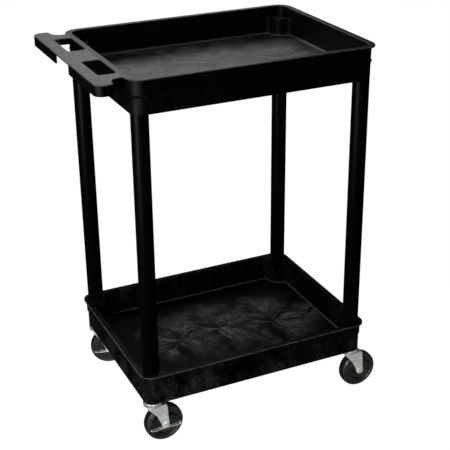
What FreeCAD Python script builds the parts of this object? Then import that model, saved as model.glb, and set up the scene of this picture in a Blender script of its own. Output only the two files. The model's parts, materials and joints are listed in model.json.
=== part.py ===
"""Rolling utility cart: two moulded tubs on four tube legs, with a push handle
and four swivel stem casters, two of them braked.

Millimetres. The origin is on the floor under the middle of the whole cart.
+Z is up, -X is the handle (rear) end and +X the front, so the cart's right
side is at -Y and its left side at +Y. The tubs are centred a little in front
of the origin, because the handle reaches further out at the back than the
trailing front wheels do in front.
"""
import FreeCAD, Part
import math
import os
import Sketcher

V = FreeCAD.Vector
doc = FreeCAD.newDocument("utility_cart")

# --------------------------------------------------------------------------
# Driving dimensions
# --------------------------------------------------------------------------
SIZES = {
    # tubs
    "rim_length": 626, "rim_width": 479, "rim_thick": 4, "rim_round": 2.2,
    "upper_rim_radius": 40, "lower_rim_radius": 33,
    "tub_height": 82.5, "tub_depth": 70, "wall_inset": 9.5, "wall_thick": 6.6, "floor_thick": 5,
    "upper_draft": 1.4, "lower_draft": 0.3, "floor_round": 8, "foot_round": 2,
    "upper_wall_radius": 32, "lower_wall_radius": 23, "tub_corner_radius": 27,
    "post_reach": 25, "post_round": 25, "post_flare": 15, "upper_post_drop": 27,
    "rib_thick": 3.5, "rib_count_long": 3, "rib_count_cross": 5, "skirt_thick": 5,
    # levels of the two rims above the floor
    "upper_rim_level": 945, "lower_rim_level": 202,
    # corner columns and legs
    "leg_inset_x": 32, "leg_inset_y": 34, "leg_radius": 20.5, "leg_bore": 16.5,
    "column_radius": 20.8, "column_height": 36, "shoulder_height": 8, "shoulder_taper": 20,
    "spigot_radius": 16.4, "spigot_bore": 12.4, "spigot_length": 45,
    "socket_radius": 20.6, "leg_seat": 8, "seat_bore": 16.6, "collar_radius": 26,
    "collar_height": 29,
    # push handle, reaching out behind the upper rim
    "handle_reach": 73.5, "handle_half_width": 238.5, "handle_thick": 3, "handle_corner": 20,
    "horn_reach": 31, "horn_round": 12, "neck_half_width": 199, "neck_round": 24,
    "handle_skirt": 25, "handle_wall": 4.5, "web_half_width": 50, "root_lap": 12,
    "hand_hole_outer": 41.5, "hand_hole_lap": 0.5, "hand_hole_near": 47, "hand_hole_far": 163,
    "hand_hole_round": 8,
    # stem sockets
    "flange_radius": 19, "flange_thick": 3, "flange_gap": 0.2, "plug_length": 52,
    "plug_radius": 16.4, "stem_gap": 0.1,
    # caster stem: grip pin above, kingpin and riveted head below
    "stem_radius": 5.5, "stem_length": 38, "stem_chamfer": 2, "grip_groove_from_tip": 9,
    "grip_groove_width": 4, "grip_groove_depth": 1.2,
    "kingpin_radius": 4.5, "kingpin_head": 8, "kingpin_head_thick": 2,
    # races and balls
    "race_radius": 23.5, "race_thick": 2, "race_depth": 7, "race_round": 2.5,
    "ball_radius": 2.8, "ball_ring_radius": 17, "ball_count": 14, "lower_race_radius": 22.6,
    "lower_race_bore": 6, "lower_race_floor": 0.5, "lower_race_chamfer": 2, "running_gap": 0.05,
    # fork
    "crown_level": 105, "fork_thick": 2.5, "fork_gap": 32, "trail": 27, "foot_radius": 9.8,
    "crown_rear": 18, "crown_front": 31.5, "fork_waist_x": 2, "fork_waist_level": 83,
    "fork_waist_round": 60, "fork_fold": 3.5, "fork_inner_fold": 1.5,
    # axle
    "sleeve_radius": 6, "bolt_radius": 4, "bolt_gap": 0.1, "bolt_head_across": 13,
    "bolt_head_thick": 4.5, "nut_thick": 6.5, "bolt_length": 50,
    # wheel
    "wheel_radius": 50, "tread_width": 24, "tread_crown": 0.8, "tyre_shoulder": 3.5,
    "tyre_lip": 2, "core_radius": 38, "core_ring": 7, "core_half_width": 10, "web_half_thick": 5,
    "hub_radius": 12, "hub_half_width": 14,
    # brake lever
    "lever_thick": 1.5, "lever_gap": 0.2, "lever_half_length": 40, "lever_drop": 11.8,
    "lever_shoulder_level": 9, "lever_top_half": 18, "lever_top_level": 21, "pedal_out": 4.5,
    "pedal_end_level": 0, "pedal_end_flare": 2, "pedal_bend": 3.5,
}
YAW = {"rear_right": 0.0, "front_right": 0.0, "rear_left": -16.0, "front_left": 0.0}
BRAKED = ("rear_right", "rear_left")


class Dim:
    """A size that knows both its number and the sheet expression behind it."""

    def __init__(self, number, text):
        self.number = number
        self.text = text

    def joined(self, other, sign, number):
        other_text = other.text if isinstance(other, Dim) else repr(other)
        return Dim(number, "(%s %s %s)" % (self.text, sign, other_text))

    def __add__(self, other):
        return self.joined(other, "+", self.number + plain(other))

    def __sub__(self, other):
        return self.joined(other, "-", self.number - plain(other))

    def __mul__(self, other):
        return self.joined(other, "*", self.number * plain(other))

    def __truediv__(self, other):
        return self.joined(other, "/", self.number / plain(other))

    def __neg__(self):
        return Dim(-self.number, "(-1 * %s)" % self.text)


def plain(value):
    """The bare number of a Dim or of a number."""
    return value.number if isinstance(value, Dim) else float(value)


def dim(value):
    """A Dim made from a plain number, or the Dim itself."""
    return value if isinstance(value, Dim) else Dim(float(value), repr(float(value)))


def make_sheet():
    """Write the driving dimensions to the sheet and return them by alias."""
    sheet = doc.addObject("Spreadsheet::Sheet", "sizes")
    found = {}
    for row, (alias, number) in enumerate(SIZES.items(), start=1):
        sheet.set("A%d" % row, alias)
        sheet.set("B%d" % row, str(number))
        sheet.setAlias("B%d" % row, alias)
        found[alias] = Dim(float(number), "sizes.%s" % alias)
    doc.recompute()
    return found


S = make_sheet()


# --------------------------------------------------------------------------
# Sketches
# --------------------------------------------------------------------------
def bind(thing, path, value):
    """Bind a property of an object to a size."""
    thing.setExpression(path, dim(value).text)


def new_body(label):
    body = doc.addObject("PartDesign::Body", label)
    body.Label = label
    return body


def new_sketch(body, name, plane="XY_Plane", level=0.0, shift=(0.0, 0.0)):
    """A sketch on an origin plane of the body, raised by level and shifted within it."""
    sketch = body.newObject("Sketcher::SketchObject", name)
    support = [f for f in body.Origin.OriginFeatures if f.Role == plane][0]
    sketch.AttachmentSupport = [(support, "")]
    sketch.MapMode = "FlatFace"
    bind(sketch, "AttachmentOffset.Base.x", shift[0])
    bind(sketch, "AttachmentOffset.Base.y", shift[1])
    bind(sketch, "AttachmentOffset.Base.z", level)
    return sketch


def pin_coordinate(sketch, kind, geometry, position, value):
    """Hold one coordinate of a point, on the axis itself where it is zero."""
    if abs(plain(value)) < 1e-9:
        axis = -2 if kind == "DistanceX" else -1
        sketch.addConstraint(Sketcher.Constraint("PointOnObject", geometry, position, axis))
        return
    rule = Sketcher.Constraint(kind, geometry, position, plain(value))
    bind(sketch, "Constraints[%d]" % sketch.addConstraint(rule), value)


def pin_point(sketch, geometry, position, x, y):
    pin_coordinate(sketch, "DistanceX", geometry, position, x)
    pin_coordinate(sketch, "DistanceY", geometry, position, y)


def pin_radius(sketch, geometry, radius):
    rule = Sketcher.Constraint("Radius", geometry, plain(radius))
    bind(sketch, "Constraints[%d]" % sketch.addConstraint(rule), radius)


def add_circle(sketch, x, y, radius):
    circle = Part.Circle(V(plain(x), plain(y), 0), V(0, 0, 1), plain(radius))
    index = sketch.addGeometry(circle, False)
    pin_point(sketch, index, 3, x, y)
    pin_radius(sketch, index, radius)


def corner_round(before, here, after, radius):
    """Where a corner's arc starts, ends and turns about: (start, end, centre, left_turn)."""
    into = (here - before).normalize()
    out = (after - here).normalize()
    turn = math.atan2(into.cross(out).z, into.dot(out))
    reach = radius * math.tan(abs(turn) / 2)
    start = here - into * reach
    side = V(-into.y, into.x, 0) * (1 if turn > 0 else -1)
    return start, here + out * reach, start + side * radius, turn > 0


def add_outline(sketch, corners):
    """A closed outline through corners (x, y, radius), counter-clockwise; radius 0 is sharp."""
    points = [V(plain(x), plain(y), 0) for x, y, _ in corners]
    count = len(corners)
    rounds = []
    for i, (_, _, radius) in enumerate(corners):
        if plain(radius) > 0:
            rounds.append(corner_round(points[i - 1], points[i], points[(i + 1) % count], plain(radius)))
        else:
            rounds.append(None)
    lines = []
    for i in range(count):
        j = (i + 1) % count
        start = rounds[i][1] if rounds[i] else points[i]
        end = rounds[j][0] if rounds[j] else points[j]
        lines.append(sketch.addGeometry(Part.LineSegment(start, end), False))
    for i, (x, y, radius) in enumerate(corners):
        before, after = lines[i - 1], lines[i]
        if not rounds[i]:
            sketch.addConstraint(Sketcher.Constraint("Coincident", before, 2, after, 1))
            pin_point(sketch, after, 1, x, y)
            continue
        start, end, centre, left = rounds[i]
        first, last = (start, end) if left else (end, start)
        angles = [math.atan2(p.y - centre.y, p.x - centre.x) for p in (first, last)]
        circle = Part.Circle(centre, V(0, 0, 1), plain(radius))
        arc = sketch.addGeometry(Part.ArcOfCircle(circle, angles[0], angles[1]), False)
        sketch.addConstraint(Sketcher.Constraint("Tangent", before, 2, arc, 1 if left else 2))
        sketch.addConstraint(Sketcher.Constraint("Tangent", after, 1, arc, 2 if left else 1))
        pin_radius(sketch, arc, radius)
        apex = sketch.addGeometry(Part.Point(points[i]), True)
        sketch.addConstraint(Sketcher.Constraint("PointOnObject", apex, 1, before))
        sketch.addConstraint(Sketcher.Constraint("PointOnObject", apex, 1, after))
        pin_point(sketch, apex, 1, x, y)


def rectangle(x0, x1, y0, y1, radius=0.0):
    return [(x0, y0, radius), (x1, y0, radius), (x1, y1, radius), (x0, y1, radius)]


# --------------------------------------------------------------------------
# Features
# --------------------------------------------------------------------------
def pad(body, sketch, length, taper=None, both_ways=False, downward=False):
    feature = body.newObject("PartDesign::Pad", sketch.Name + "_pad")
    feature.Profile = sketch
    bind(feature, "Length", length)
    feature.Midplane = both_ways
    feature.Reversed = downward
    if taper is not None:
        bind(feature, "TaperAngle", taper)
    sketch.Visibility = False
    return feature


def pocket(body, sketch, depth, upward=False, both_ways=False):
    """Cut a sketch into the body, down from it by default, and make sure that it cuts."""
    doc.recompute()
    before = body.Shape.Volume
    feature = body.newObject("PartDesign::Pocket", sketch.Name + "_pocket")
    feature.Profile = sketch
    bind(feature, "Length", depth)
    feature.Midplane = both_ways
    feature.Reversed = upward
    doc.recompute()
    if body.Shape.Volume > before - 1e-3:
        raise RuntimeError("%s cuts nothing" % feature.Name)
    return feature


def revolve(body, sketch):
    feature = body.newObject("PartDesign::Revolution", sketch.Name + "_revolution")
    feature.Profile = sketch
    feature.ReferenceAxis = (sketch, ["V_Axis"])
    feature.Angle = 360.0
    return feature


def fillet(body, radius, chosen, name):
    """Round the edges of the body's tip for which chosen(edge) holds."""
    doc.recompute()
    tip = body.Tip
    names = ["Edge%d" % (i + 1) for i, e in enumerate(tip.Shape.Edges) if chosen(e)]
    feature = body.newObject("PartDesign::Fillet", name)
    feature.Base = (tip, names)
    bind(feature, "Radius", radius)
    doc.recompute()
    return feature


def lies_at(level):
    """A test for edges that lie flat at one height."""
    def test(edge):
        box = edge.BoundBox
        return abs(box.ZMin - level) < 1e-4 and abs(box.ZMax - level) < 1e-4
    return test


def lies_along_x_at(level):
    """A test for straight edges at one height that run along X."""
    def test(edge):
        box = edge.BoundBox
        return lies_at(level)(edge) and box.YLength < 1e-4 and box.XLength > 1
    return test


def finish_body(body, position, yaw=0.0):
    body.Placement = FreeCAD.Placement(position, FreeCAD.Rotation(V(0, 0, 1), yaw))
    return body


# --------------------------------------------------------------------------
# Where things are
# --------------------------------------------------------------------------
FRONT_WHEEL_REACH = S["trail"] + S["wheel_radius"] - S["leg_inset_x"]
TRAY_SHIFT = (S["handle_reach"] - FRONT_WHEEL_REACH) / 2
CORNERS = {"rear_right": (-1, -1), "front_right": (1, -1), "rear_left": (-1, 1), "front_left": (1, 1)}


def leg_axis(signs):
    """A leg's axis, measured from the middle of a tub, as two sizes."""
    x = (S["rim_length"] / 2 - S["leg_inset_x"]) * signs[0]
    y = (S["rim_width"] / 2 - S["leg_inset_y"]) * signs[1]
    return x, y


def corner_position(corner, height):
    """A leg's axis at a height above the floor, in the cart's own frame."""
    x, y = leg_axis(CORNERS[corner])
    return V(x.number + TRAY_SHIFT.number, y.number, plain(height))


# --------------------------------------------------------------------------
# Tubs
# --------------------------------------------------------------------------
def plain_tub_outline(inset, radius):
    half_x = S["rim_length"] / 2 - inset
    half_y = S["rim_width"] / 2 - inset
    return rectangle(-half_x, half_x, -half_y, half_y, radius)


def posted_tub_outline(inset, reach):
    """A tub's inside with a rounded post standing in each corner."""
    half_x = S["rim_length"] / 2 - inset
    half_y = S["rim_width"] / 2 - inset
    post_x = S["rim_length"] / 2 - S["leg_inset_x"] - reach
    post_y = S["rim_width"] / 2 - S["leg_inset_y"] - reach
    flare, nose = S["post_flare"], S["post_round"]
    quarter = [(half_x, post_y, flare), (post_x, post_y, nose), (post_x, half_y, flare)]
    corners = []
    for sx, sy, order in ((1, 1, 1), (-1, 1, -1), (-1, -1, 1), (1, -1, -1)):
        corners += [(x * sx, y * sy, r) for x, y, r in quarter[::order]]
    return corners


def corner_circles(body, name, level, radius):
    sketch = new_sketch(body, name, level=level)
    for signs in CORNERS.values():
        x, y = leg_axis(signs)
        add_circle(sketch, x, y, radius)
    return sketch


def add_ribs(body, name, lengthwise):
    """Straight ribs on the underside of the floor, down to the skirt's edge."""
    sketch = new_sketch(body, name, level=-S["tub_height"])
    inset = S["wall_inset"] + S["skirt_thick"] / 2
    half_x = S["rim_length"] / 2 - inset
    half_y = S["rim_width"] / 2 - inset
    thick = S["rib_thick"] / 2
    count = S["rib_count_long"] if lengthwise else S["rib_count_cross"]
    for i in range(int(count.number)):
        step = (i + 1.0) / (count.number + 1.0) * 2 - 1
        if lengthwise:
            middle = half_y * step
            add_outline(sketch, rectangle(-half_x, half_x, middle - thick, middle + thick))
        else:
            middle = half_x * step
            add_outline(sketch, rectangle(middle - thick, middle + thick, -half_y, half_y))
    pad(body, sketch, S["tub_height"] - S["tub_depth"] - S["floor_thick"] / 2)


def tub_shell(body, wall_radius, rim_radius, draft):
    """Drafted wall block and rim, still solid inside."""
    wall = new_sketch(body, "wall", level=-S["tub_height"])
    add_outline(wall, plain_tub_outline(S["wall_inset"], wall_radius))
    pad(body, wall, S["tub_height"] - S["rim_thick"] / 2, taper=draft)
    fillet(body, S["foot_round"], lies_at(-S["tub_height"].number), "foot_rounds")
    rim = new_sketch(body, "rim", level=-S["rim_thick"])
    add_outline(rim, plain_tub_outline(Dim(0.0, "0"), rim_radius))
    pad(body, rim, S["rim_thick"])


def hollow_underside(body):
    """Open the space under the floor, leaving a skirt and solid corner posts."""
    sketch = new_sketch(body, "underside", level=-S["tub_height"])
    inset = S["wall_inset"] + S["skirt_thick"]
    add_outline(sketch, posted_tub_outline(inset, S["post_reach"]))
    pocket(body, sketch, S["tub_height"] - S["tub_depth"] - S["floor_thick"], upward=True)


def add_handle(body):
    """Flat push handle: a plate flush with the rim, a skirt under its edge, two hand holes."""
    rear = -S["rim_length"] / 2
    edge = rear - S["handle_reach"]
    horn = rear - S["horn_reach"]
    lap = rear + S["root_lap"]
    wide, neck, wall = S["handle_half_width"], S["neck_half_width"], S["handle_wall"]
    half = [(lap, neck, 0.0), (horn, neck, S["neck_round"]), (horn, wide, S["horn_round"]),
            (edge, wide, S["handle_corner"])]
    plate = new_sketch(body, "handle_plate", level=-S["handle_thick"])
    add_outline(plate, half + [(x, -y, r) for x, y, r in half[::-1]])
    pad(body, plate, S["handle_thick"])

    inner = [(edge + wall, wide - wall, S["handle_corner"] - wall),
             (horn - wall, wide - wall, S["horn_round"] - wall),
             (horn - wall, neck - wall, S["neck_round"] + wall), (lap, neck - wall, 0.0)]
    web = S["web_half_width"]
    loop = half + [(edge, web, 0.0), (edge + wall, web, 0.0)] + inner
    skirt = new_sketch(body, "handle_skirt", level=-S["handle_skirt"])
    add_outline(skirt, loop)
    add_outline(skirt, [(x, -y, r) for x, y, r in loop[::-1]])
    pad(body, skirt, S["handle_skirt"] - S["handle_thick"] / 2)

    holes = new_sketch(body, "hand_holes")
    far, near = S["hand_hole_far"], S["hand_hole_near"]
    for low, high in ((near, far), (-far, -near)):
        add_outline(holes, rectangle(rear - S["hand_hole_outer"], rear + S["hand_hole_lap"],
                                     low, high, S["hand_hole_round"]))
    pocket(body, holes, S["handle_skirt"])


def make_top_tray():
    body = new_body("top_tray")
    tub_shell(body, S["upper_wall_radius"], S["upper_rim_radius"], S["upper_draft"])
    columns = corner_circles(body, "columns", -S["tub_height"], S["column_radius"])
    pad(body, columns, S["column_height"])
    shoulders = corner_circles(body, "shoulders", S["column_height"] - S["tub_height"], S["column_radius"])
    pad(body, shoulders, S["shoulder_height"], taper=S["shoulder_taper"])
    add_handle(body)
    inset = S["wall_inset"] + S["wall_thick"]
    mouth = new_sketch(body, "mouth")
    add_outline(mouth, plain_tub_outline(inset, S["tub_corner_radius"]))
    pocket(body, mouth, S["upper_post_drop"])
    hollow = new_sketch(body, "hollow", level=-S["upper_post_drop"])
    add_outline(hollow, posted_tub_outline(inset, S["post_reach"]))
    pocket(body, hollow, S["tub_depth"] - S["upper_post_drop"])
    hollow_underside(body)
    add_ribs(body, "cross_ribs", lengthwise=False)
    add_ribs(body, "long_ribs", lengthwise=True)
    spigots = corner_circles(body, "spigots", -S["tub_height"] - S["spigot_length"], S["spigot_radius"])
    pad(body, spigots, S["spigot_length"] + S["floor_thick"])
    bores = corner_circles(body, "spigot_bores", -S["tub_height"] - S["spigot_length"], S["spigot_bore"])
    pocket(body, bores, S["spigot_length"] + S["column_height"], upward=True)
    fillet(body, S["floor_round"], lies_at(-S["tub_depth"].number), "floor_rounds")
    fillet(body, S["rim_round"], lies_at(0.0), "rim_rounds")
    return finish_body(body, V(TRAY_SHIFT.number, 0, S["upper_rim_level"].number))


def make_bottom_tray():
    body = new_body("bottom_tray")
    # the lower walls turn their corners round the leg sockets
    tub_shell(body, S["lower_wall_radius"], S["lower_rim_radius"], S["lower_draft"])
    collars = corner_circles(body, "collars", -S["collar_height"] - S["rim_thick"], S["collar_radius"])
    pad(body, collars, S["collar_height"])
    inset = S["wall_inset"] + S["wall_thick"]
    hollow = new_sketch(body, "hollow")
    add_outline(hollow, posted_tub_outline(inset, S["post_reach"]))
    pocket(body, hollow, S["tub_depth"])
    hollow_underside(body)
    add_ribs(body, "cross_ribs", lengthwise=False)
    add_ribs(body, "long_ribs", lengthwise=True)
    sockets = corner_circles(body, "sockets", Dim(0.0, "0"), S["socket_radius"])
    pocket(body, sockets, S["tub_height"] - S["leg_seat"])
    seats = corner_circles(body, "seats", -S["tub_height"], S["seat_bore"])
    pocket(body, seats, S["leg_seat"], upward=True)
    recesses = corner_circles(body, "recesses", -S["tub_height"], S["flange_radius"] + S["flange_gap"])
    pocket(body, recesses, S["flange_thick"], upward=True)
    fillet(body, S["floor_round"], lies_at(-S["tub_depth"].number), "floor_rounds")
    fillet(body, S["rim_round"], rim_outline_at_top, "rim_rounds")
    return finish_body(body, V(TRAY_SHIFT.number, 0, S["lower_rim_level"].number))


def rim_outline_at_top(edge):
    """Edges in the top face of the lower rim, except the mouths of the leg sockets."""
    closed_circle = edge.isClosed() and edge.Length < 7 * S["socket_radius"].number
    return lies_at(0.0)(edge) and not closed_circle


# --------------------------------------------------------------------------
# Legs and stem sockets
# --------------------------------------------------------------------------
LOWER_TRAY_BOTTOM = S["lower_rim_level"] - S["tub_height"]
LEG_FOOT = LOWER_TRAY_BOTTOM + S["leg_seat"]
LEG_TOP = S["upper_rim_level"] - S["tub_height"]


def make_leg(corner):
    body = new_body("leg_%s" % corner)
    ring = new_sketch(body, "tube")
    add_circle(ring, 0, 0, S["leg_radius"])
    add_circle(ring, 0, 0, S["leg_bore"])
    pad(body, ring, LEG_TOP - LEG_FOOT)
    return finish_body(body, corner_position(corner, LEG_FOOT))


def make_stem_socket(corner):
    """Flanged nylon plug, pushed up into the leg, that grips the caster's stem."""
    body = new_body("stem_socket_%s" % corner)
    profile = new_sketch(body, "profile", "XZ_Plane")
    bore = S["stem_radius"] + S["stem_gap"]
    add_outline(profile, [
        (bore, 0.0, 0.0), (S["flange_radius"], 0.0, 0.0), (S["flange_radius"], S["flange_thick"], 0.0),
        (S["plug_radius"], S["flange_thick"], 0.0), (S["plug_radius"], S["plug_length"], 0.0),
        (bore, S["plug_length"], 0.0)])
    revolve(body, profile)
    return finish_body(body, corner_position(corner, LOWER_TRAY_BOTTOM))


# --------------------------------------------------------------------------
# Casters, each modelled about its own swivel axis with z = 0 on the floor
# --------------------------------------------------------------------------
def spun(label, outlines, corner, level=0.0, lying=False, x=0.0):
    """A turned piece: closed outlines (r, height) spun about the upright or the axle axis."""
    body = new_body(label)
    if lying:
        # sketched with the axle line as its upright axis, in the plan plane at axle height
        sketch = new_sketch(body, "profile", "XY_Plane", level=S["wheel_radius"], shift=(x, 0.0))
    else:
        sketch = new_sketch(body, "profile", "XZ_Plane")
    for outline in outlines:
        add_outline(sketch, outline)
    revolve(body, sketch)
    return finish_body(body, corner_position(corner, level), YAW[corner])


def make_stem(corner):
    """One turned pin: grip stem above, kingpin and riveted head below."""
    stem, pin, head = S["stem_radius"], S["kingpin_radius"], S["kingpin_head"]
    head_top = S["crown_level"] - S["running_gap"]
    head_low = S["crown_level"] - S["kingpin_head_thick"]
    shoulder = LOWER_TRAY_BOTTOM - S["race_thick"]
    tip = LOWER_TRAY_BOTTOM + S["stem_length"]
    groove_low = tip - S["grip_groove_from_tip"]
    groove_high = groove_low + S["grip_groove_width"]
    waist = stem - S["grip_groove_depth"]
    nose = S["stem_chamfer"]
    return spun("caster_%s_stem" % corner, [[
        (0.0, head_low, 0.0), (head, head_low, 0.0), (head, head_top, 0.0), (pin, head_top, 0.0),
        (pin, shoulder, 0.0), (stem, shoulder, 0.0), (stem, groove_low, 0.0), (waist, groove_low, 0.0),
        (waist, groove_high, 0.0), (stem, groove_high, 0.0), (stem, tip - nose, 0.0),
        (stem - nose, tip, 0.0), (0.0, tip, 0.0)]], corner)


def make_top_race(corner):
    """Pressed cap that hugs the tray's underside and carries the ball ring."""
    top = LOWER_TRAY_BOTTOM
    thick, bend = S["race_thick"], S["race_round"]
    low = top - S["race_depth"]
    wide, bore = S["race_radius"], S["stem_radius"]
    return spun("caster_%s_top_race" % corner, [[
        (bore, top - thick, 0.0), (wide - thick, top - thick, bend / 2), (wide - thick, low, 0.0),
        (wide, low, 0.0), (wide, top, bend), (bore, top, 0.0)]], corner)


def make_balls(corner):
    """Ring of bearing balls between the two races, as separate spheres."""
    ring = doc.addObject("Part::Feature", "caster_%s_balls" % corner)
    ring.Label = "caster_%s_balls" % corner
    radius, ring_radius = S["ball_radius"].number, S["ball_ring_radius"].number
    height = (LOWER_TRAY_BOTTOM - S["race_thick"]).number - radius - S["running_gap"].number
    count = int(S["ball_count"].number)
    balls = []
    for i in range(count):
        angle = 2 * math.pi * i / count
        centre = V(ring_radius * math.cos(angle), ring_radius * math.sin(angle), height)
        balls.append(Part.makeSphere(radius, centre))
    ring.Shape = Part.makeCompound(balls)
    ring.Placement = FreeCAD.Placement(corner_position(corner, 0), FreeCAD.Rotation(V(0, 0, 1), YAW[corner]))
    return ring


def make_fork(corner):
    """Pressed fork: flat crown, two folded sides that sweep down to round feet, raceway on top."""
    body = new_body("caster_%s_fork" % corner)
    crown, axle, trail, foot = S["crown_level"], S["wheel_radius"], S["trail"], S["foot_radius"]
    toe = foot * 0.9
    gap = S["fork_gap"] / 2
    outer_half = gap + S["fork_thick"]
    top = crown + S["fork_thick"]
    side = new_sketch(body, "side", "XZ_Plane")
    add_outline(side, [
        (trail + foot, axle - foot, toe), (S["crown_front"], top, 0.0), (-S["crown_rear"], top, 0.0),
        (-S["crown_rear"], crown, 0.0), (S["fork_waist_x"], S["fork_waist_level"], S["fork_waist_round"]),
        (trail - foot, axle, foot), (trail - foot, axle - foot, toe)])
    pad(body, side, outer_half * 2, both_ways=True)
    fillet(body, S["fork_fold"], lies_along_x_at(top.number), "folds")
    channel = new_sketch(body, "channel", "YZ_Plane")
    bend, floor = S["fork_inner_fold"], Dim(0.0, "0")
    add_outline(channel, [(-gap, floor, 0.0), (gap, floor, 0.0), (gap, crown, bend), (-gap, crown, bend)])
    pocket(body, channel, crown * 2, both_ways=True)
    race_low = crown + S["lower_race_floor"]
    race_top = LOWER_TRAY_BOTTOM - S["race_thick"] - S["ball_radius"] * 2 - S["running_gap"] * 2
    wide, bore, chamfer = S["lower_race_radius"], S["lower_race_bore"], S["lower_race_chamfer"]
    raceway = new_sketch(body, "raceway", "XZ_Plane")
    add_outline(raceway, [(bore, race_low, 0.0), (wide - chamfer, race_low, 0.0),
                          (wide, race_low + chamfer, 0.0), (wide, race_top, chamfer / 2),
                          (bore, race_top, 0.0)])
    revolve(body, raceway)
    hole = new_sketch(body, "kingpin_hole", level=LOWER_TRAY_BOTTOM)
    add_circle(hole, 0, 0, S["kingpin_radius"] + S["running_gap"])
    pocket(body, hole, LOWER_TRAY_BOTTOM - crown + S["fork_thick"])
    axle_hole = new_sketch(body, "axle_hole", "XZ_Plane")
    add_circle(axle_hole, trail, axle, S["bolt_radius"] + S["bolt_gap"])
    pocket(body, axle_hole, outer_half * 4, both_ways=True)
    return finish_body(body, corner_position(corner, 0), YAW[corner])


def make_axle_sleeve(corner):
    half = S["fork_gap"] / 2
    bore = S["bolt_radius"] + S["bolt_gap"]
    outline = rectangle(bore, S["sleeve_radius"], -half, half)
    return spun("caster_%s_axle_sleeve" % corner, [outline], corner, lying=True, x=S["trail"])


def hexagon(across):
    """Corners of a hexagon about the origin, from the distance across its flats."""
    reach = across / math.sqrt(3.0)
    return [(reach * math.cos(math.radians(a)), reach * math.sin(math.radians(a)), 0.0)
            for a in range(30, 390, 60)]


def across_axle(body, name, offset):
    """A sketch square to the axle, centred on it, offset along +Y."""
    return new_sketch(body, name, "XZ_Plane", level=-offset, shift=(S["trail"], S["wheel_radius"]))


def make_axle_bolt(corner):
    body = new_body("caster_%s_axle_bolt" % corner)
    face = S["fork_gap"] / 2 + S["fork_thick"]
    shank = across_axle(body, "shank", -face)
    add_circle(shank, 0, 0, S["bolt_radius"])
    pad(body, shank, S["bolt_length"], downward=True)
    head = across_axle(body, "head", -face)
    add_outline(head, hexagon(S["bolt_head_across"]))
    pad(body, head, S["bolt_head_thick"])
    return finish_body(body, corner_position(corner, 0), YAW[corner])


def make_axle_nut(corner):
    body = new_body("caster_%s_axle_nut" % corner)
    face = S["fork_gap"] / 2 + S["fork_thick"]
    nut = across_axle(body, "nut", face)
    add_outline(nut, hexagon(S["bolt_head_across"]))
    add_circle(nut, 0, 0, S["bolt_radius"])
    pad(body, nut, S["nut_thick"], downward=True)
    return finish_body(body, corner_position(corner, 0), YAW[corner])


def make_wheel_core(corner):
    """Moulded wheel centre: hub, thin web and the ring that carries the tyre."""
    hub, half, web = S["hub_radius"], S["hub_half_width"], S["web_half_thick"]
    bore = S["sleeve_radius"] + S["running_gap"]
    ring_out, wide = S["core_radius"], S["core_half_width"]
    ring_in = ring_out - S["core_ring"]
    corner_bend = 1.0
    web_bend = 2.0
    outline = [(bore, -half, 0.0), (hub, -half, corner_bend), (hub, -web, web_bend),
               (ring_in, -web, web_bend), (ring_in, -wide, corner_bend), (ring_out, -wide, 0.0),
               (ring_out, wide, 0.0), (ring_in, wide, corner_bend), (ring_in, web, web_bend),
               (hub, web, web_bend), (hub, half, corner_bend), (bore, half, 0.0)]
    return spun("caster_%s_wheel_core" % corner, [outline], corner, lying=True, x=S["trail"])


def make_tyre(corner):
    """Solid tyre: bonded to the core's ring, with a flat crown band between round shoulders."""
    half, wide = S["tread_width"] / 2, S["core_half_width"]
    outer, inner, lip = S["wheel_radius"], S["core_radius"], S["core_radius"] + S["tyre_lip"]
    edge, shoulder, lip_bend = outer - S["tread_crown"], S["tyre_shoulder"], S["tyre_lip"] / 2
    crown_half = half / 3
    outline = [(inner, -wide, 0.0), (lip, -half, lip_bend), (edge, -half, shoulder),
               (outer, -crown_half, 0.0), (outer, crown_half, 0.0), (edge, half, shoulder),
               (lip, half, lip_bend), (inner, wide, 0.0)]
    return spun("caster_%s_tyre" % corner, [outline], corner, lying=True, x=S["trail"])


def make_brake_lever(corner):
    """Rocking side lever: a plate behind the fork leg, folded out under it into a shallow pan."""
    body = new_body("caster_%s_brake_lever" % corner)
    near = S["hub_half_width"] + S["lever_gap"]
    thick, drop, half = S["lever_thick"], S["lever_drop"], S["lever_half_length"]
    shoulder, bend = S["lever_shoulder_level"], S["pedal_bend"]
    top_half, top = S["lever_top_half"], S["lever_top_level"]
    plate = across_axle(body, "plate", -near)
    add_outline(plate, [(half, -drop, bend), (half, shoulder, shoulder), (top_half, top, shoulder),
                        (-top_half, top, shoulder), (-half, shoulder, shoulder), (-half, -drop, bend)])
    pad(body, plate, thick)
    end, flare, inside = S["pedal_end_level"], S["pedal_end_flare"], half - thick
    pan = across_axle(body, "pan", -near)
    add_outline(pan, [(-half, -drop, bend), (half, -drop, bend), (half + flare, end, 0.0),
                      (inside + flare, end, 0.0), (inside, -drop + thick, bend - thick),
                      (-inside, -drop + thick, bend - thick), (-inside - flare, end, 0.0),
                      (-half - flare, end, 0.0)])
    pad(body, pan, thick + S["pedal_out"])
    hole = across_axle(body, "pivot_hole", 0.0)
    add_circle(hole, 0, 0, S["sleeve_radius"] + S["running_gap"])
    pocket(body, hole, near * 4, both_ways=True)
    return finish_body(body, corner_position(corner, 0), YAW[corner])


# --------------------------------------------------------------------------
# Build, check and export
# --------------------------------------------------------------------------
CASTER_MAKERS = [make_stem, make_top_race, make_balls, make_fork, make_axle_sleeve, make_axle_bolt,
                 make_axle_nut, make_wheel_core, make_tyre]


def build():
    parts = [make_top_tray(), make_bottom_tray()]
    for corner in CORNERS:
        parts.append(make_leg(corner))
        parts.append(make_stem_socket(corner))
        parts += [make(corner) for make in CASTER_MAKERS]
    for corner in BRAKED:
        parts.append(make_brake_lever(corner))
    doc.recompute()
    return parts


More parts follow.
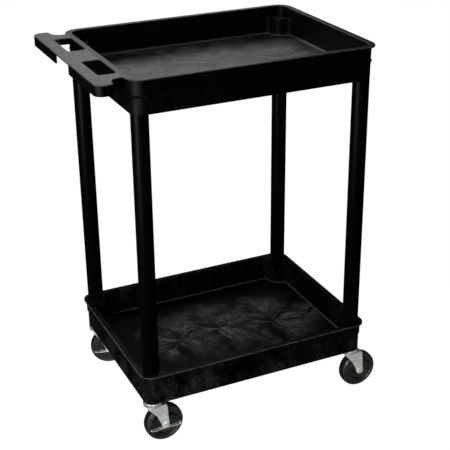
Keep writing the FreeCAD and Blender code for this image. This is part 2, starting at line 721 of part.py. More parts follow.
def check(parts):
    for thing in doc.Objects:
        if "Invalid" in thing.State or "Error" in thing.State:
            raise RuntimeError("%s failed" % thing.Name)
    for part in parts:
        if part.Shape.isNull() or not part.Shape.isValid():
            raise RuntimeError("%s has no valid shape" % part.Label)


def export(parts):
    os.makedirs("parts", exist_ok=True)
    for part in parts:
        part.Shape.exportStep("parts/%s.step" % part.Label)


made = build()
check(made)
export(made)
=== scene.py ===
"""Finish for the rolling utility cart: materials, fine pieces, light and camera round its frame."""
import json
import math

import bpy
import bmesh
from mathutils import Matrix, Vector


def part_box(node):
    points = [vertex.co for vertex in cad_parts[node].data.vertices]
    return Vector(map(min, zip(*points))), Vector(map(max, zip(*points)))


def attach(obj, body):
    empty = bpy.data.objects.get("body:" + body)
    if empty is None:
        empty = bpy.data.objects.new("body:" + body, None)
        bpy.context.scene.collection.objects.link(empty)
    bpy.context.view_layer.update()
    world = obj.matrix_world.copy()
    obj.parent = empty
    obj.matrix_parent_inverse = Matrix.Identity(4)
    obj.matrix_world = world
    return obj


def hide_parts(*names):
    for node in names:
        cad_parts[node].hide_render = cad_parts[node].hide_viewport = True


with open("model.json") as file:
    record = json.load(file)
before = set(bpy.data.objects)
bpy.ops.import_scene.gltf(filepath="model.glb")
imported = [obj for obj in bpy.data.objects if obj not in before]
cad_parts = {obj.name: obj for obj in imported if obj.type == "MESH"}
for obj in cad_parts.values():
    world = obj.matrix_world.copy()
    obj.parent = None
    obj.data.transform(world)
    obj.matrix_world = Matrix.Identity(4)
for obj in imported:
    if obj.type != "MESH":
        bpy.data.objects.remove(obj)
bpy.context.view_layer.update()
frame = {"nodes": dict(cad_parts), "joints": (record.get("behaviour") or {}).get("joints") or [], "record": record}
nodes = frame["nodes"]
joints = {joint["name"]: joint for joint in frame["joints"]}
CORNERS = ("rear_right", "front_right", "rear_left", "front_left")
BRAKED = ("rear_right", "rear_left")
Z_AXIS = Vector((0, 0, 1))

# Wheel, millimetres from the axle and from the wheel's middle plane
TREAD_RADIUS, TREAD_HALF_WIDTH, TREAD_CROWN = 50.0, 12.0, 0.8
CORE_RADIUS, CORE_HALF_WIDTH, RING_INNER = 38.0, 10.0, 31.0
WEB_HALF, HUB_RADIUS, HUB_HALF_WIDTH, HUB_BORE = 5.0, 12.0, 14.0, 6.05
TYRE_MIDDLE, CORE_MIDDLE = 44.0, 22.0
# Legs and bearing balls, millimetres
LEG_OUTER, LEG_INNER = 20.5, 16.5
BALL_RADIUS, BALL_RING_RADIUS, BALL_COUNT = 2.8, 17.0, 14
MM = 0.001

# From here on in metres
UPPER_FLOOR, UPPER_RIM, UPPER_CORNER = 0.875, 0.945, 0.040
LOWER_FLOOR, LOWER_RIM, LOWER_CORNER = 0.132, 0.202, 0.033
# How wide the eased edges are
PRESSED_EDGE, HEXAGON_EDGE, LEVER_EDGE = 0.00045, 0.0006, 0.0003
# The bead on a brake lever: its own radius, its bends' radius, how far its ends curl outwards
BEAD_RADIUS, BEAD_BEND, BEAD_CURL = 0.0011, 0.004, 0.0022
# The upper race's top edge, above which a highlight is painted, and the gap between the two races, where a shadow
# is painted
RACE_HIGHLIGHT_BAND, RACE_GAP = (0.096, 0.101), 0.1121

tub_low, tub_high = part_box("bottom_tray")
tub_middle = (tub_low.x + tub_high.x) / 2
RIM_HALF_LENGTH, RIM_HALF_WIDTH = (tub_high.x - tub_low.x) / 2, (tub_high.y - tub_low.y) / 2


# --------------------------------------------------------------------------
# Node helpers
# --------------------------------------------------------------------------
MIDDLE_NOISE = (0.5, 0.5, 0.5)
# The Mix node's sockets when it mixes colours
COLOUR_A, COLOUR_B, COLOUR_RESULT = 6, 7, 2


def add_node(tree, kind, inputs=None, **settings):
    """A node with its settings and inputs; an input is a value or another node's output."""
    node = tree.nodes.new(kind)
    for key, value in settings.items():
        setattr(node, key, value)
    for key, value in (inputs or {}).items():
        if isinstance(value, bpy.types.NodeSocket):
            tree.links.new(value, node.inputs[key])
        else:
            node.inputs[key].default_value = value
    return node


def math_node(tree, operation, *values):
    return add_node(tree, "ShaderNodeMath", dict(enumerate(values)), operation=operation).outputs[0]


def multiply(tree, first, *others):
    for other in others:
        first = math_node(tree, "MULTIPLY", first, other)
    return first


def highest(tree, first, *others):
    for other in others:
        first = math_node(tree, "MAXIMUM", first, other)
    return first


def distance_from(tree, value, middle):
    return math_node(tree, "ABSOLUTE", math_node(tree, "SUBTRACT", value, middle))


def vector_node(tree, operation, *values, output="Vector"):
    return add_node(tree, "ShaderNodeVectorMath", dict(enumerate(values)),
                    operation=operation).outputs[output]


def vector_length(tree, vector):
    return vector_node(tree, "LENGTH", vector, output="Value")


def separated(tree, vector):
    return add_node(tree, "ShaderNodeSeparateXYZ", {"Vector": vector}).outputs


def stretched(tree, where, scale, centre=(0.0, 0.0, 0.0)):
    """Object coordinates centred on a point, then scaled along each axis."""
    return vector_node(tree, "MULTIPLY", vector_node(tree, "SUBTRACT", where, centre), scale)


def spread(tree, value, low, high, to_low=0.0, to_high=1.0):
    """The value brought from one range to another and held inside it."""
    return add_node(tree, "ShaderNodeMapRange", {
        "Value": value, "From Min": low, "From Max": high,
        "To Min": to_low, "To Max": to_high}).outputs["Result"]


def mix_value(tree, factor, first, second):
    return add_node(tree, "ShaderNodeMix", {
        "Factor": factor, "A": first, "B": second}).outputs["Result"]


def mix_colour(tree, factor, first, second):
    return add_node(tree, "ShaderNodeMix", {
        "Factor": factor, COLOUR_A: first, COLOUR_B: second},
        data_type="RGBA").outputs[COLOUR_RESULT]


def noise(tree, where, scale, detail=2.0, output="Fac", **inputs):
    values = {"Vector": where, "Scale": scale, "Detail": detail}
    values.update(inputs)
    return add_node(tree, "ShaderNodeTexNoise", values).outputs[output]


def wander(tree, where, scale, detail, amount):
    """A soft sideways drift, up to half the amount either way along x and y."""
    drift = noise(tree, where, scale, detail, output="Color")
    return stretched(tree, drift, (amount, amount, 0.0), MIDDLE_NOISE)


def camera_ray(tree):
    return add_node(tree, "ShaderNodeLightPath").outputs["Is Camera Ray"]


def new_material(name, **sockets):
    """A Principled material; constant sockets are set on the shader itself."""
    material = bpy.data.materials.new(name)
    material.use_nodes = True
    tree = material.node_tree
    shader = tree.nodes["Principled BSDF"]
    for key, value in sockets.items():
        shader.inputs[key.replace("_", " ")].default_value = value
    where = add_node(tree, "ShaderNodeTexCoord").outputs["Object"]
    return material, tree, shader, where


def feed(tree, shader, **patterns):
    for key, pattern in patterns.items():
        tree.links.new(pattern, shader.inputs[key.replace("_", " ")])


def add_bump(tree, shader, height, strength, distance):
    feed(tree, shader, Normal=add_node(tree, "ShaderNodeBump", {
        "Height": height, "Strength": strength, "Distance": distance}).outputs["Normal"])


def set_finish(obj, material):
    obj.data.materials.clear()
    obj.data.materials.append(material)


# --------------------------------------------------------------------------
# Finishes
# --------------------------------------------------------------------------
def swirl(tree, where, gate, reach_out):
    """Flow marks that open like petals round one mould gate: 0 between them, 1 in a streak."""
    from_gate = stretched(tree, where, (1.0, 1.0, 1.0), gate)
    curled = vector_node(tree, "ADD", from_gate, wander(tree, from_gate, 9.0, 2.0, 0.09))
    reach = vector_length(tree, curled)
    outward = vector_node(tree, "NORMALIZE", curled)
    lifted = add_node(tree, "ShaderNodeCombineXYZ", {"Z": multiply(tree, reach, 6.0)}).outputs[0]
    ray = vector_node(tree, "ADD", outward, lifted)
    petals = spread(tree, noise(tree, ray, 1.7, 2.0), 0.42, 0.58)
    streaks = spread(tree, noise(tree, ray, 6.0, 5.0, Roughness=0.6), 0.35, 0.7, 0.35, 1.0)
    fade = spread(tree, reach, 0.02, reach_out, 1.0, 0.0)
    return multiply(tree, petals, streaks, fade)


def inset_from_rim(tree, where, corner_radius):
    """How far in from the rim's outer edge a point lies, in plan."""
    plan = stretched(tree, where, (1.0, 1.0, 0.0), (tub_middle, 0.0, 0.0))
    inner = (RIM_HALF_LENGTH - corner_radius, RIM_HALF_WIDTH - corner_radius, 0.0)
    past = vector_node(tree, "SUBTRACT", vector_node(tree, "ABSOLUTE", plan), inner)
    past = vector_node(tree, "MAXIMUM", past, (0.0, 0.0, 0.0))
    return math_node(tree, "SUBTRACT", corner_radius, vector_length(tree, past))


def foam_plastic(name, gates, floor_level, rim_level, corner_radius, mark_and_highlight_tone, painted_sheen_tone, wall_marks,
                 gloss):
    """Black structural foam: grain all over, petals of flow marks, clouded walls, painted highlights along the rim
    and the walls' foot, painted sheen on upward grain.
    """
    black = (0.0, 0.0, 0.0, 1)
    # The second pair of widths, and the strengths and height below, place the painted highlights along the rim and
    # along the foot of the inner walls.
    inside_walls, rim_highlight_width = (0.013, 0.015), (0.0006, 0.0026)
    rim_highlight_strength, foot_highlight_strength, foot_highlight_height = 0.5, 0.4, 0.0012
    material, tree, shader, where = new_material(name, Specular_IOR_Level=gloss)
    at = separated(tree, where)
    level = at["Z"]
    inset = inset_from_rim(tree, where, corner_radius)
    within = spread(tree, inset, *inside_walls)

    grain = noise(tree, where, 210.0, 5.0, Roughness=0.8)
    speckle = spread(tree, grain, 0.40, 0.62, 0.1, 1.9)

    flow = highest(tree, *(swirl(tree, where, *gate) for gate in gates))
    bent = vector_node(tree, "ADD", where, wander(tree, where, 14.0, 3.0, 0.1))
    crease = add_node(tree, "ShaderNodeTexVoronoi", {"Vector": bent, "Scale": 8.5},
                      feature="DISTANCE_TO_EDGE").outputs["Distance"]
    flow = multiply(tree, flow, spread(tree, crease, 0.0, 0.16, 0.3, 1.0))
    on_floor = multiply(tree, within,
                        spread(tree, level, floor_level + 0.004, floor_level + 0.001))

    wall_mottle_and_painted_light = noise(tree, stretched(tree, where, (24.0, 24.0, 15.0)), 1.0, 6.0,
                 Distortion=0.9, Roughness=0.7)
    # The wall mottle is real clouding; its fading away from the handle end is painted light from the front left.
    painted_light_from_handle_end = spread(tree, at["X"], -0.31, -0.02, 1.0, 0.4)
    wall_mottle_and_painted_light = multiply(tree, spread(tree, wall_mottle_and_painted_light, 0.42, 0.76, 0.0, wall_marks), painted_light_from_handle_end)

    # Painted highlight: a thin light band just under the rim's top stands in for the light the rim catches.
    painted_rim_highlight = multiply(tree, spread(tree, inset, *rim_highlight_width, 1.0, 0.0),
                      spread(tree, level, rim_level - 0.003, rim_level - 0.001, 0.0, rim_highlight_strength))
    # Painted highlight: a light line along the inner walls' foot stands in for the floor fillet catching the
    # light.
    painted_foot_highlight = distance_from(tree, level, floor_level + foot_highlight_height)
    painted_foot_highlight = multiply(tree, within, spread(tree, painted_foot_highlight, 0.0004, 0.0012, foot_highlight_strength, 0.0))
    marks_and_painted_highlights = highest(tree, mix_value(tree, on_floor, wall_mottle_and_painted_light, flow), painted_rim_highlight, painted_foot_highlight)
    marks_and_painted_highlights = multiply(tree, marks_and_painted_highlights, speckle)

    # Painted sheen: the grain is lightened on upward faces, where the overhead light falls.
    facing_up = separated(tree, add_node(tree, "ShaderNodeNewGeometry").outputs["Normal"])["Z"]
    painted_sheen_grain = multiply(tree, spread(tree, grain, 0.48, 0.58),
                     spread(tree, facing_up, 0.6, 0.95, 0.12, 1.0))
    ground_with_painted_sheen = mix_colour(tree, painted_sheen_grain, black, painted_sheen_tone)
    feed(tree, shader, Base_Color=mix_colour(tree, marks_and_painted_highlights, ground_with_painted_sheen, mark_and_highlight_tone),
         Roughness=spread(tree, grain, 0.38, 0.64, 0.32, 0.52))
    add_bump(tree, shader, grain, 0.7, 0.0008)
    return material


def drawn_tube_plastic():
    """Extruded black tube: satin, with faint lengthwise draw lines and a few light scuffs."""
    clean, scuffed_tone = (0.003, 0.003, 0.0032, 1), (0.008, 0.008, 0.008, 1)
    material, tree, shader, where = new_material("leg_tube_plastic", Specular_IOR_Level=0.11)
    lines = noise(tree, stretched(tree, where, (900.0, 900.0, 2.0)), 1.0, 2.0)
    scuffs = noise(tree, stretched(tree, where, (120.0, 120.0, 25.0)), 1.0, 4.0, Distortion=2.0)
    scuffed = spread(tree, scuffs, 0.62, 0.74)
    rough = math_node(tree, "ADD", spread(tree, lines, 0.35, 0.65, 0.33, 0.40),
                      multiply(tree, scuffed, 0.1))
    feed(tree, shader, Base_Color=mix_colour(tree, scuffed, clean, scuffed_tone), Roughness=rough)
    add_bump(tree, shader, lines, 0.12, 0.0003)
    return material


def socket_nylon():
    """Moulded nylon, grey-black with a fine even grain."""
    dark, light = (0.022, 0.022, 0.022, 1), (0.04, 0.04, 0.039, 1)
    material, tree, shader, where = new_material("socket_nylon", Roughness=0.45)
    grain = noise(tree, where, 500.0, 3.0)
    feed(tree, shader, Base_Color=mix_colour(tree, grain, dark, light))
    add_bump(tree, shader, grain, 0.2, 0.0003)
    return material


def plated_zinc():
    """Pressed steel with a pale passivated zinc plate: cloudy tint, fine rolling lines, a painted highlight on the
    top race and a painted shadow between the races.
    """
    yellow_film, blue_film = (0.80, 0.86, 0.68, 1), (0.84, 0.90, 0.92, 1)
    spangle_tone, race_highlight_tone = (0.92, 0.94, 0.90, 1), (0.93, 0.97, 1.0, 1)
    gap_shadow_tone = (0.05, 0.05, 0.045, 1)
    material, tree, shader, where = new_material("plated_zinc", Metallic=0.55)
    cloud = noise(tree, where, 55.0, 3.0, Distortion=0.8)
    tint_and_painted_light = mix_colour(tree, spread(tree, cloud, 0.4, 0.62), yellow_film, blue_film)
    spangle = spread(tree, noise(tree, where, 420.0, 2.0), 0.35, 0.7, 0.0, 0.35)
    tint_and_painted_light = mix_colour(tree, spangle, tint_and_painted_light, spangle_tone)
    level = separated(tree, where)["Z"]
    # Painted highlight: the upper race and the crown above its top edge are lightened where the light catches
    # them.
    tint_and_painted_light = mix_colour(tree, spread(tree, level, *RACE_HIGHLIGHT_BAND, 0.0, 0.6), tint_and_painted_light, race_highlight_tone)
    # Painted shadow: a dark line in the gap between the two races stands in for the shade there.
    painted_gap_shadow = multiply(
        tree, spread(tree, distance_from(tree, level, RACE_GAP), 0.0008, 0.0016, 0.9, 0.0),
        spread(tree, cloud, 0.3, 0.5, 0.7, 1.0))
    tint_and_painted_light = mix_colour(tree, painted_gap_shadow, tint_and_painted_light, gap_shadow_tone)
    rolled = noise(tree, stretched(tree, where, (60.0, 1500.0, 1500.0)), 1.0, 2.0)
    feed(tree, shader, Base_Color=tint_and_painted_light, Roughness=spread(tree, rolled, 0.3, 0.7, 0.18, 0.32))
    add_bump(tree, shader, rolled, 0.06, 0.0002)
    return material


def turned_steel():
    """Hardened steel off the lathe, lightly oiled."""
    bare, oiled = (0.46, 0.47, 0.48, 1), (0.28, 0.26, 0.23, 1)
    material, tree, shader, where = new_material("turned_steel", Metallic=1.0)
    rings = noise(tree, stretched(tree, where, (150.0, 150.0, 3000.0)), 1.0, 2.0)
    stain = spread(tree, noise(tree, where, 160.0, 3.0), 0.45, 0.7)
    feed(tree, shader, Base_Color=mix_colour(tree, stain, bare, oiled),
         Roughness=spread(tree, rings, 0.3, 0.7, 0.2, 0.36))
    add_bump(tree, shader, rings, 0.08, 0.0002)
    return material


def bright_plate():
    """Bright plated lever: near mirror, with faint press marks and fine scratches."""
    green_film, blue_film = (0.76, 0.80, 0.78, 1), (0.82, 0.83, 0.88, 1)
    material, tree, shader, where = new_material("bright_plate", Metallic=1.0)
    scratch = noise(tree, stretched(tree, where, (40.0, 900.0, 1400.0)), 1.0, 3.0)
    haze = spread(tree, noise(tree, where, 90.0, 2.0), 0.4, 0.65)
    feed(tree, shader, Base_Color=mix_colour(tree, haze, green_film, blue_film),
         Roughness=spread(tree, scratch, 0.35, 0.7, 0.05, 0.14))
    add_bump(tree, shader, noise(tree, where, 180.0, 1.0), 0.05, 0.0005)
    return material


def wheel_plastic():
    """Satin moulded wheel core, lightly dusted."""
    clean, dusty = (0.006, 0.006, 0.005, 1), (0.017, 0.0165, 0.0135, 1)
    material, tree, shader, where = new_material("wheel_core_plastic")
    dust = noise(tree, where, 48.0, 4.0, Distortion=0.6)
    feed(tree, shader, Base_Color=mix_colour(tree, spread(tree, dust, 0.42, 0.7), clean, dusty),
         Roughness=spread(tree, dust, 0.4, 0.7, 0.34, 0.48))
    add_bump(tree, shader, noise(tree, where, 650.0, 3.0), 0.2, 0.0003)
    return material


def tyre_rubber():
    """Matt moulded rubber, dusted in soft patches."""
    clean, dusty = (0.009, 0.0086, 0.007, 1), (0.023, 0.022, 0.017, 1)
    material, tree, shader, where = new_material("tyre_rubber")
    grain = noise(tree, where, 1100.0, 3.0)
    dust = spread(tree, noise(tree, where, 70.0, 4.0, Distortion=0.8), 0.4, 0.7)
    feed(tree, shader, Base_Color=mix_colour(tree, dust, clean, dusty),
         Roughness=spread(tree, grain, 0.35, 0.65, 0.34, 0.5))
    add_bump(tree, shader, grain, 0.3, 0.0003)
    return material


FINISH = {
    "leg_plastic": drawn_tube_plastic(), "socket_nylon": socket_nylon(),
    "zinc_plate": plated_zinc(), "hardened_steel": turned_steel(),
    "bright_plate": bright_plate(), "wheel_plastic": wheel_plastic(),
    "tyre_rubber": tyre_rubber()}
# Each gate is its place on the floor and how far its flow marks reach
# The grain's painted sheen is stronger on the upper tub, under the overhead light, than on the lower tub in the
# upper tub's shade.
TUB_FINISH = {
    "top_tray": foam_plastic(
        "upper_tub_foam", floor_level=UPPER_FLOOR, rim_level=UPPER_RIM, corner_radius=UPPER_CORNER,
        gates=[((-0.17, -0.04, UPPER_FLOOR), 0.42), ((0.03, 0.04, UPPER_FLOOR), 0.3),
               ((0.20, 0.0, UPPER_FLOOR), 0.2)],
        mark_and_highlight_tone=(0.23, 0.23, 0.232, 1), painted_sheen_tone=(0.034, 0.034, 0.0345, 1), wall_marks=0.06,
        gloss=0.26),
    "bottom_tray": foam_plastic(
        "lower_tub_foam", floor_level=LOWER_FLOOR, rim_level=LOWER_RIM, corner_radius=LOWER_CORNER,
        gates=[((-0.094, 0.011, LOWER_FLOOR), 0.13), ((0.022, 0.021, LOWER_FLOOR), 0.16),
               ((0.170, -0.007, LOWER_FLOOR), 0.17), ((0.262, -0.02, LOWER_FLOOR), 0.08)],
        mark_and_highlight_tone=(0.34, 0.34, 0.345, 1), painted_sheen_tone=(0.008, 0.008, 0.0082, 1), wall_marks=0.17,
        gloss=0.07)}
SLOT = {row["node"]: row["material_slot"] for row in frame["record"]["subparts"]}
for node_name, slot_name in SLOT.items():
    set_finish(nodes[node_name], TUB_FINISH.get(node_name) or FINISH[slot_name])


# --------------------------------------------------------------------------
# Geometry Nodes pieces
# --------------------------------------------------------------------------
def new_tree(name, **inputs):
    """A Geometry Nodes tree with the named inputs; each is (socket type, default)."""
    tree = bpy.data.node_groups.new(name, "GeometryNodeTree")
    tree.interface.new_socket("Geometry", in_out="INPUT", socket_type="NodeSocketGeometry")
    for label, (kind, default) in inputs.items():
        socket = tree.interface.new_socket(label, in_out="INPUT", socket_type="NodeSocket" + kind)
        if default is not None:
            socket.default_value = default
    tree.interface.new_socket("Geometry", in_out="OUTPUT", socket_type="NodeSocketGeometry")
    given = tree.nodes.new("NodeGroupInput").outputs
    result = tree.nodes.new("NodeGroupOutput").inputs
    return tree, given, result


def finish_tree(tree, given, result, geometry):
    """Places the piece, then realizes instances and sets the finish."""
    placed = add_node(tree, "GeometryNodeTransform", {
        "Geometry": geometry, "Translation": given["Place"], "Rotation": given["Turn"]}).outputs[0]
    whole = add_node(tree, "GeometryNodeRealizeInstances", {"Geometry": placed}).outputs[0]
    painted = add_node(tree, "GeometryNodeSetMaterial", {
        "Geometry": whole, "Material": given["Finish"]}).outputs[0]
    tree.links.new(painted, result["Geometry"])
    return tree


def rounded_line(tree, geometry, steps, radius):
    """A mesh's edges as a curve with its corners rounded."""
    line = add_node(tree, "GeometryNodeMeshToCurve", {"Mesh": geometry}).outputs[0]
    return add_node(tree, "GeometryNodeFilletCurve", {
        "Curve": line, "Count": steps, "Radius": radius, "Limit Radius": True},
        mode="POLY").outputs[0]


PLACING = {"Turn": ("Rotation", None), "Place": ("Vector", None), "Finish": ("Material", None)}


def turned_ring_tree():
    """Spins a closed outline (x outward from the ring's middle line, y along the axis)."""
    tree, given, result = new_tree(
        "turned_ring", Ring_Radius=("Float", 0.04), Steps_Round=("Int", 96),
        Corner_Round=("Float", 0.001), Round_Steps=("Int", 4), **PLACING)
    outline = rounded_line(tree, given["Geometry"], given["Round_Steps"], given["Corner_Round"])
    circle = add_node(tree, "GeometryNodeCurvePrimitiveCircle", {
        "Resolution": given["Steps_Round"], "Radius": given["Ring_Radius"]}).outputs["Curve"]
    upright = add_node(tree, "GeometryNodeSetCurveNormal", {"Curve": circle},
                       mode="Z_UP").outputs[0]
    skin = add_node(tree, "GeometryNodeCurveToMesh", {
        "Curve": upright, "Profile Curve": outline}).outputs[0]
    return finish_tree(tree, given, result, skin)


def ball_ring_tree():
    """Balls set evenly round a raceway."""
    tree, given, result = new_tree(
        "ball_ring", Ring_Radius=("Float", 0.017), Ball_Radius=("Float", 0.003),
        Ball_Count=("Int", 14), **PLACING)
    ring = add_node(tree, "GeometryNodeMeshCircle", {
        "Vertices": given["Ball_Count"], "Radius": given["Ring_Radius"]}).outputs["Mesh"]
    ball = add_node(tree, "GeometryNodeMeshUVSphere", {
        "Segments": 24, "Rings": 16, "Radius": given["Ball_Radius"]}).outputs["Mesh"]
    balls = add_node(tree, "GeometryNodeInstanceOnPoints", {
        "Points": ring, "Instance": ball}).outputs[0]
    return finish_tree(tree, given, result, balls)


def rolled_lip_tree():
    """A rolled bead that follows a bent line, with its ends closed."""
    tree, given, result = new_tree(
        "rolled_lip", Bead_Radius=("Float", 0.001), Bend_Round=("Float", 0.004), **PLACING)
    line = rounded_line(tree, given["Geometry"], 5, given["Bend_Round"])
    bead = add_node(tree, "GeometryNodeCurvePrimitiveCircle", {
        "Resolution": 12, "Radius": given["Bead_Radius"]}).outputs["Curve"]
    skin = add_node(tree, "GeometryNodeCurveToMesh", {
        "Curve": line, "Profile Curve": bead, "Fill Caps": True}).outputs[0]
    return finish_tree(tree, given, result, skin)


TURNED_RING = turned_ring_tree()
BALL_RING = ball_ring_tree()
ROLLED_LIP = rolled_lip_tree()


def outline_mesh(points, ring_radius):
    """A closed loop of edges from (radius, height) corners, in millimetres."""
    mesh = bpy.data.meshes.new("outline")
    corners = [((radius - ring_radius) * MM, height * MM, 0.0) for radius, height in points]
    mesh.from_pydata(corners, [(i, (i + 1) % len(corners)) for i in range(len(corners))], [])
    return mesh


def mirrored(half):
    """A closed outline from its upper half: (radius, height above the middle), going outwards."""
    return half + [(radius, -height) for radius, height in reversed(half)]


def new_piece(name, mesh):
    piece = bpy.data.objects.new(name, mesh)
    bpy.context.scene.collection.objects.link(piece)
    return piece


def tidy_mesh(mesh, sharp_angle):
    shape = bmesh.new()
    shape.from_mesh(mesh)
    bmesh.ops.remove_doubles(shape, verts=shape.verts, dist=1e-6)
    bmesh.ops.recalc_face_normals(shape, faces=shape.faces)
    shape.to_mesh(mesh)
    shape.free()
    mesh.shade_smooth()
    mesh.set_sharp_from_angle(angle=math.radians(sharp_angle))


def grow(name, tree, mesh, slot_name, body, node, sharp_angle=35.0, **values):
    """Runs a tree on a mesh and keeps a plain piece, in place of a CAD node if one is named."""
    piece = new_piece(name, mesh or bpy.data.meshes.new(name))
    modifier = piece.modifiers.new("grow", "NODES")
    modifier.node_group = tree
    values["Finish"] = FINISH[slot_name]
    for item in tree.interface.items_tree:
        if item.in_out == "INPUT" and item.name in values:
            modifier[item.identifier] = values[item.name]
    grown = bpy.data.meshes.new_from_object(
        piece.evaluated_get(bpy.context.evaluated_depsgraph_get()))
    piece.modifiers.clear()
    piece.data = grown
    tidy_mesh(grown, sharp_angle)
    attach(piece, body)
    if node:
        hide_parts(node)


# Corners from the bore outwards: (radius, height above the wheel's middle plane)
TYRE_OUTLINE = mirrored([
    (CORE_RADIUS, CORE_HALF_WIDTH),
    (CORE_RADIUS + 0.9, TREAD_HALF_WIDTH - 0.9),
    (CORE_RADIUS + 2.2, TREAD_HALF_WIDTH - 0.1),
    (CORE_RADIUS + 4.2, TREAD_HALF_WIDTH),
    (CORE_RADIUS + 4.6, TREAD_HALF_WIDTH - 0.5),
    (CORE_RADIUS + 5.4, TREAD_HALF_WIDTH - 0.5),
    (CORE_RADIUS + 5.8, TREAD_HALF_WIDTH),
    (TREAD_RADIUS - TREAD_CROWN - 3.2, TREAD_HALF_WIDTH - 0.2),
    (TREAD_RADIUS - TREAD_CROWN - 1.2, TREAD_HALF_WIDTH - 1.2),
    (TREAD_RADIUS - TREAD_CROWN, TREAD_HALF_WIDTH - 3.4),
    (TREAD_RADIUS, TREAD_HALF_WIDTH / 3)])
CORE_OUTLINE = mirrored([
    (HUB_BORE, HUB_HALF_WIDTH),
    (HUB_RADIUS - 0.6, HUB_HALF_WIDTH),
    (HUB_RADIUS, HUB_HALF_WIDTH - 0.6),
    (HUB_RADIUS, WEB_HALF + 1.6),
    (HUB_RADIUS + 1.6, WEB_HALF),
    (19.4, WEB_HALF),
    (19.8, WEB_HALF + 0.6),
    (21.2, WEB_HALF + 0.6),
    (21.6, WEB_HALF),
    (RING_INNER - 1.6, WEB_HALF),
    (RING_INNER, WEB_HALF + 1.6),
    (RING_INNER, CORE_HALF_WIDTH - 0.8),
    (RING_INNER + 0.8, CORE_HALF_WIDTH),
    (CORE_RADIUS, CORE_HALF_WIDTH)])


def fit_wheel(corner):
    roll = joints["roll_" + corner]
    turn = Z_AXIS.rotation_difference(Vector(roll["axis"])).to_euler()
    for part, slot_name, outline, ring in (
            ("tyre", "tyre_rubber", TYRE_OUTLINE, TYRE_MIDDLE),
            ("wheel_core", "wheel_plastic", CORE_OUTLINE, CORE_MIDDLE)):
        grow("turned_%s_%s" % (part, corner), TURNED_RING, outline_mesh(outline, ring), slot_name,
             "wheel_" + corner, "caster_%s_%s" % (corner, part), Ring_Radius=ring * MM,
             Steps_Round=128, Corner_Round=0.0005, Round_Steps=2, Turn=turn, Place=roll["pos_m"])


def fit_leg(corner):
    low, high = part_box("leg_" + corner)
    half = (high.z - low.z) / 2 / MM
    ring = (LEG_OUTER + LEG_INNER) / 2
    outline = [(LEG_INNER, half), (LEG_OUTER, half), (LEG_OUTER, -half), (LEG_INNER, -half)]
    grow("leg_tube_" + corner, TURNED_RING, outline_mesh(outline, ring), "leg_plastic", "root",
         "leg_" + corner, Ring_Radius=ring * MM, Steps_Round=96, Corner_Round=0.0008,
         Round_Steps=3, Turn=(0.0, 0.0, 0.0), Place=(low + high) / 2)


def fit_balls(corner):
    node = "caster_%s_balls" % corner
    low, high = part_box(node)
    grow("bearing_balls_" + corner, BALL_RING, None, "hardened_steel", "fork_" + corner, node,
         sharp_angle=80.0, Ring_Radius=BALL_RING_RADIUS * MM, Ball_Radius=BALL_RADIUS * MM,
         Ball_Count=BALL_COUNT, Turn=(0.0, 0.0, 0.0), Place=(low + high) / 2)


def ease_edges(node, name, body, width):
    """A copy of a pressed or forged piece with its sharp edges eased."""
    mesh = nodes[node].data.copy()
    shape = bmesh.new()
    shape.from_mesh(mesh)
    bmesh.ops.remove_doubles(shape, verts=shape.verts, dist=2e-6)
    bmesh.ops.dissolve_limit(shape, angle_limit=math.radians(1.0), verts=shape.verts,
                             edges=shape.edges)
    shape.to_mesh(mesh)
    shape.free()
    piece = new_piece(name, mesh)
    set_finish(piece, FINISH[SLOT[node]])
    mesh.shade_smooth()
    mesh.set_sharp_from_angle(angle=math.radians(40.0))
    ease = piece.modifiers.new("ease", "BEVEL")
    ease.width = width
    ease.segments = 2
    ease.limit_method = "ANGLE"
    ease.angle_limit = math.radians(50.0)
    ease.harden_normals = True
    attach(piece, body)
    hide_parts(node)


def roll_lip(corner):
    """The bead along the outer edge of a brake lever's pan, curled up at both ends."""
    pivot = Vector(joints["brake_rear_right"]["pos_m"])
    low, high = (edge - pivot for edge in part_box("caster_rear_right_brake_lever"))
    out, base = low.y + 0.0002, low.z + 0.0008
    line = [(low.x + 0.0015, out + BEAD_CURL, base + 0.0075),
            (low.x + 0.001, out, base + 0.0015),
            (low.x + 0.012, out, base),
            (-0.007, out, base + 0.0022),
            (0.010, out, base + 0.0022),
            (0.021, out, base + 0.0012),
            (high.x - 0.001, out, base + 0.0035),
            (high.x - 0.001, out + BEAD_CURL, base + 0.009)]
    mesh = bpy.data.meshes.new("lip_line")
    mesh.from_pydata(line, [(i, i + 1) for i in range(len(line) - 1)], [])
    hinge = joints["brake_" + corner]
    axis = Vector(hinge["axis"])
    grow("rolled_lip_" + corner, ROLLED_LIP, mesh, "zinc_plate", "brake_" + corner, None,
         sharp_angle=50.0, Bead_Radius=BEAD_RADIUS, Bend_Round=BEAD_BEND,
         Turn=(0.0, 0.0, math.atan2(-axis.x, axis.y)), Place=hinge["pos_m"])


for corner in CORNERS:
    fit_wheel(corner)
    fit_leg(corner)
    fit_balls(corner)
    caster = "caster_%s_" % corner
    ease_edges(caster + "fork", "pressed_fork_" + corner, "fork_" + corner, PRESSED_EDGE)
    ease_edges(caster + "axle_bolt", "hex_bolt_" + corner, "fork_" + corner, HEXAGON_EDGE)
    ease_edges(caster + "axle_nut", "hex_nut_" + corner, "fork_" + corner, HEXAGON_EDGE)
    if corner in BRAKED:
        ease_edges(caster + "brake_lever", "pressed_lever_" + corner, "brake_" + corner, LEVER_EDGE)
        roll_lip(corner)


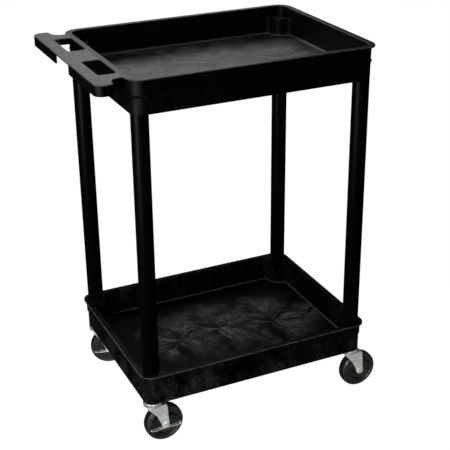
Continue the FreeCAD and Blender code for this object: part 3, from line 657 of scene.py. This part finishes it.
# --------------------------------------------------------------------------
# Camera, light and floor
# --------------------------------------------------------------------------
HEADING, DIP, ROLL = math.radians(24.94), math.radians(24.91), math.radians(-0.6)
SENSOR_WIDTH, FOCAL_LENGTH = 36.0, 85.09
CAMERA_PLACE = (tub_middle - 1.0402, -2.2733, 1.6111)
AHEAD = Vector((math.sin(HEADING), math.cos(HEADING), 0.0))
LEFTWARD = Vector((-math.cos(HEADING), math.sin(HEADING), 0.0))
WHITE = (1, 1, 1, 1)
FLOOR_SIZE = 30


def place_camera():
    data = bpy.data.cameras.new("camera")
    camera = bpy.data.objects.new("camera", data)
    bpy.context.scene.collection.objects.link(camera)
    bpy.context.scene.camera = camera
    data.sensor_width = SENSOR_WIDTH
    data.lens = FOCAL_LENGTH
    turn = (Matrix.Rotation(-HEADING, 4, "Z") @ Matrix.Rotation(math.pi / 2 - DIP, 4, "X")
            @ Matrix.Rotation(ROLL, 4, "Z"))
    camera.matrix_world = Matrix.Translation(CAMERA_PLACE) @ turn


def soft_box(name, position, target, size, power, beam=180.0):
    """An area light unseen by the camera; power in watts, beam in degrees."""
    data = bpy.data.lights.new(name, "AREA")
    data.spread = math.radians(beam)
    data.shape = "RECTANGLE"
    data.size, data.size_y = size
    data.energy = power
    light = bpy.data.objects.new(name, data)
    light.visible_camera = False
    bpy.context.scene.collection.objects.link(light)
    aim = (Vector(target) - Vector(position)).to_track_quat("-Z", "Y")
    light.matrix_world = Matrix.Translation(position) @ aim.to_matrix().to_4x4()


def light_studio():
    """Dim surroundings that the camera sees as white, and four soft boxes."""
    world = bpy.data.worlds.new("studio")
    bpy.context.scene.world = world
    world.use_nodes = True
    tree = world.node_tree
    background = tree.nodes["Background"]
    toward = add_node(tree, "ShaderNodeTexCoord").outputs["Generated"]
    ahead = vector_node(tree, "DOT_PRODUCT", toward, AHEAD, output="Value")
    level = spread(tree, ahead, -0.1, 0.9, 0.01, 0.04)
    feed(tree, background, Strength=mix_value(tree, camera_ray(tree), level, 1.0))
    background.inputs["Color"].default_value = WHITE
    left = LEFTWARD - AHEAD * 1.5
    low = AHEAD * -1.7 - LEFTWARD * 0.35
    soft_box("rear_box", (0.12, 1.0, 1.55), (0, 0, 0.93), (1.2, 0.5), 4.8)
    soft_box("overhead", (-0.05, 0.1, 2.5), (0, 0, 0.9), (1.3, 1.0), 7)
    soft_box("front_left_box", (left.x, left.y, 0.9), (0, 0, 0.3), (0.8, 1.2), 13)
    soft_box("caster_strip", (low.x, low.y, 0.05), (0, 0, 0.05), (2.0, 0.1), 0.95, beam=12.0)


def lay_floor():
    """A plain floor the camera sees as white; the light it gives the cart, a glow painted into its emission, fades
    away from the middle.
    """
    bpy.ops.mesh.primitive_plane_add(size=FLOOR_SIZE)
    floor = bpy.context.object
    floor.name = "floor"
    material, tree, shader, where = new_material(
        "floor_glow", Roughness=0.9, Specular_IOR_Level=0.0, Emission_Color=WHITE)
    # Painted glow: a pool of emitted light, unseen by the camera, lights the cart from the floor.
    pool = spread(tree, vector_length(tree, where), 0.3, 1.25, 0.02, 0.005)
    seen = camera_ray(tree)
    feed(tree, shader, Emission_Strength=mix_value(tree, seen, pool, 1.0),
         Base_Color=mix_colour(tree, seen, (0.0, 0.0, 0.0, 1), (0.1, 0.1, 0.1, 1)))
    floor.data.materials.append(material)


place_camera()
light_studio()
lay_floor()
bpy.context.scene.view_settings.view_transform = "Standard"
